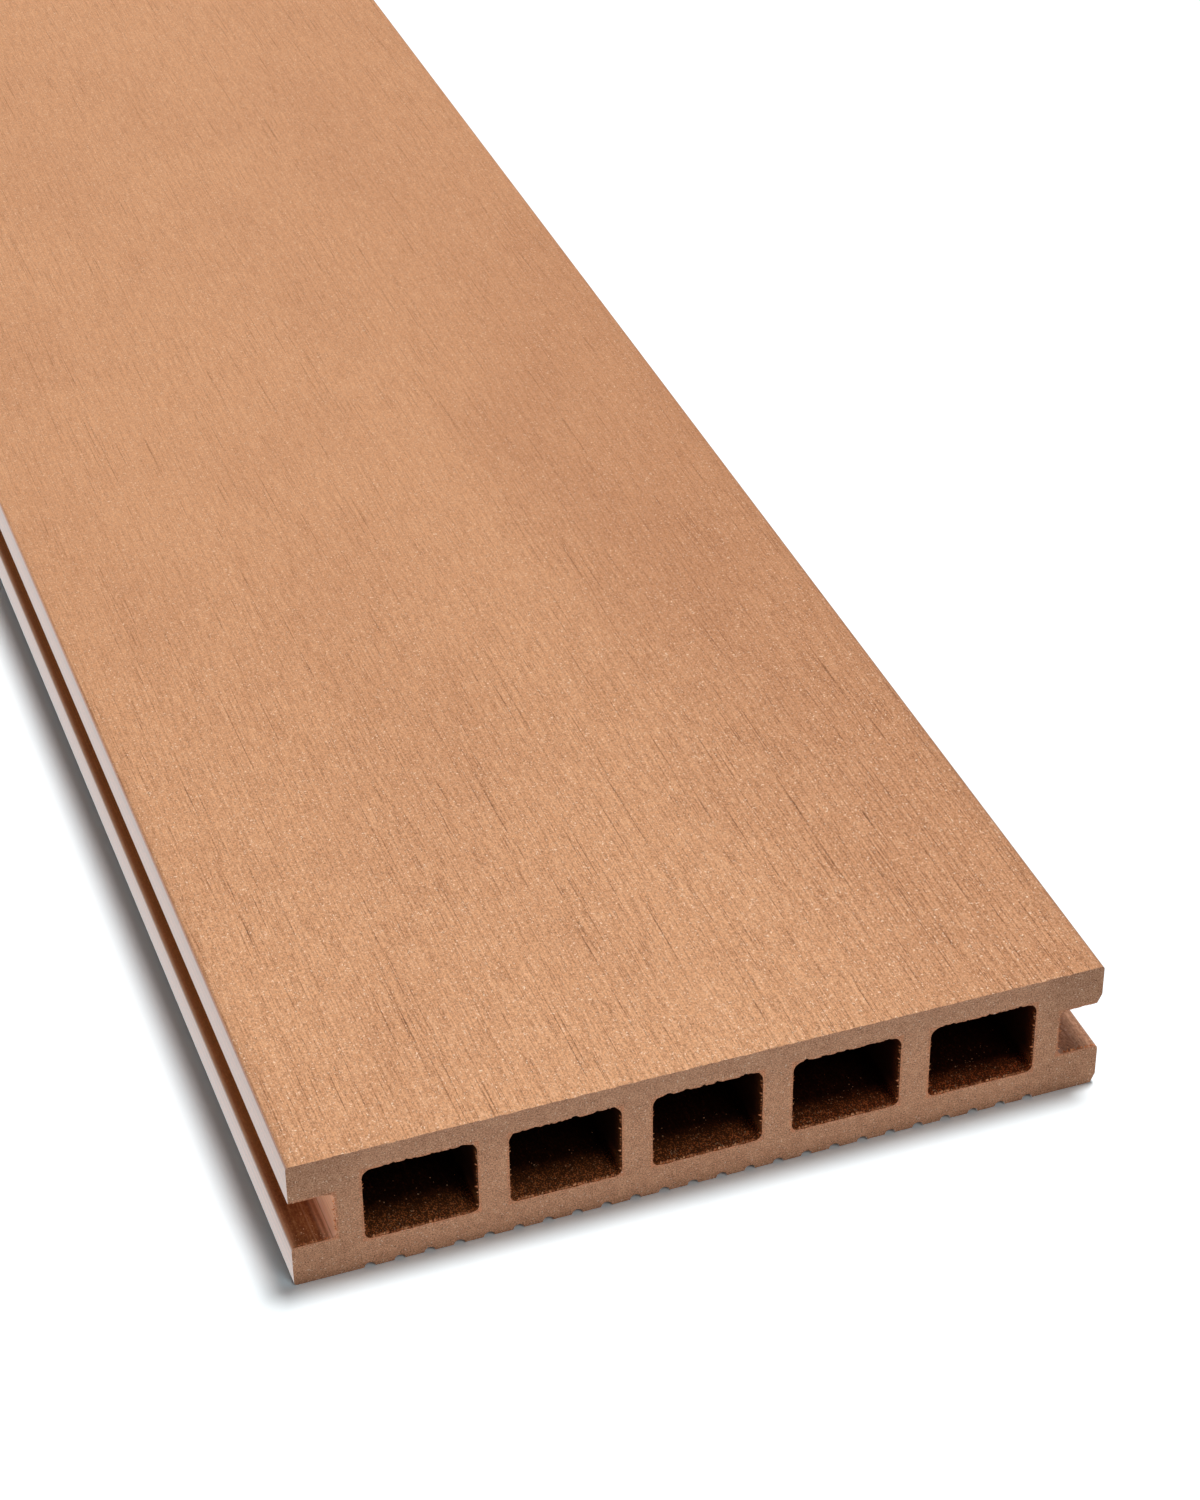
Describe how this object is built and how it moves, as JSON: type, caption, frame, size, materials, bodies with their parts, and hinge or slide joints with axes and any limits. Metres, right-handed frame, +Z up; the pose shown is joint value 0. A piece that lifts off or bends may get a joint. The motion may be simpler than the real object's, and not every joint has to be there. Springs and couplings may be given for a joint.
{
  "type": "decking board",
  "caption": "Hollow extruded wood-plastic decking board with a brushed walking face, a clip groove along each side and a fluted underside.",
  "frame": {"origin": "centre of the underside, halfway along the board, on the plane the board lies on", "axes": "+X across the width towards the side with bevelled lips, +Y along the length away from the end nearest the camera, +Z up through the walking face"},
  "size_m": [0.14, 2.4, 0.025],
  "materials": {
    "composite": "brushed matte wood-plastic, orange-brown"
  },
  "bodies": {
    "root": {"decking_board": "composite"}
  },
  "joints": []
}
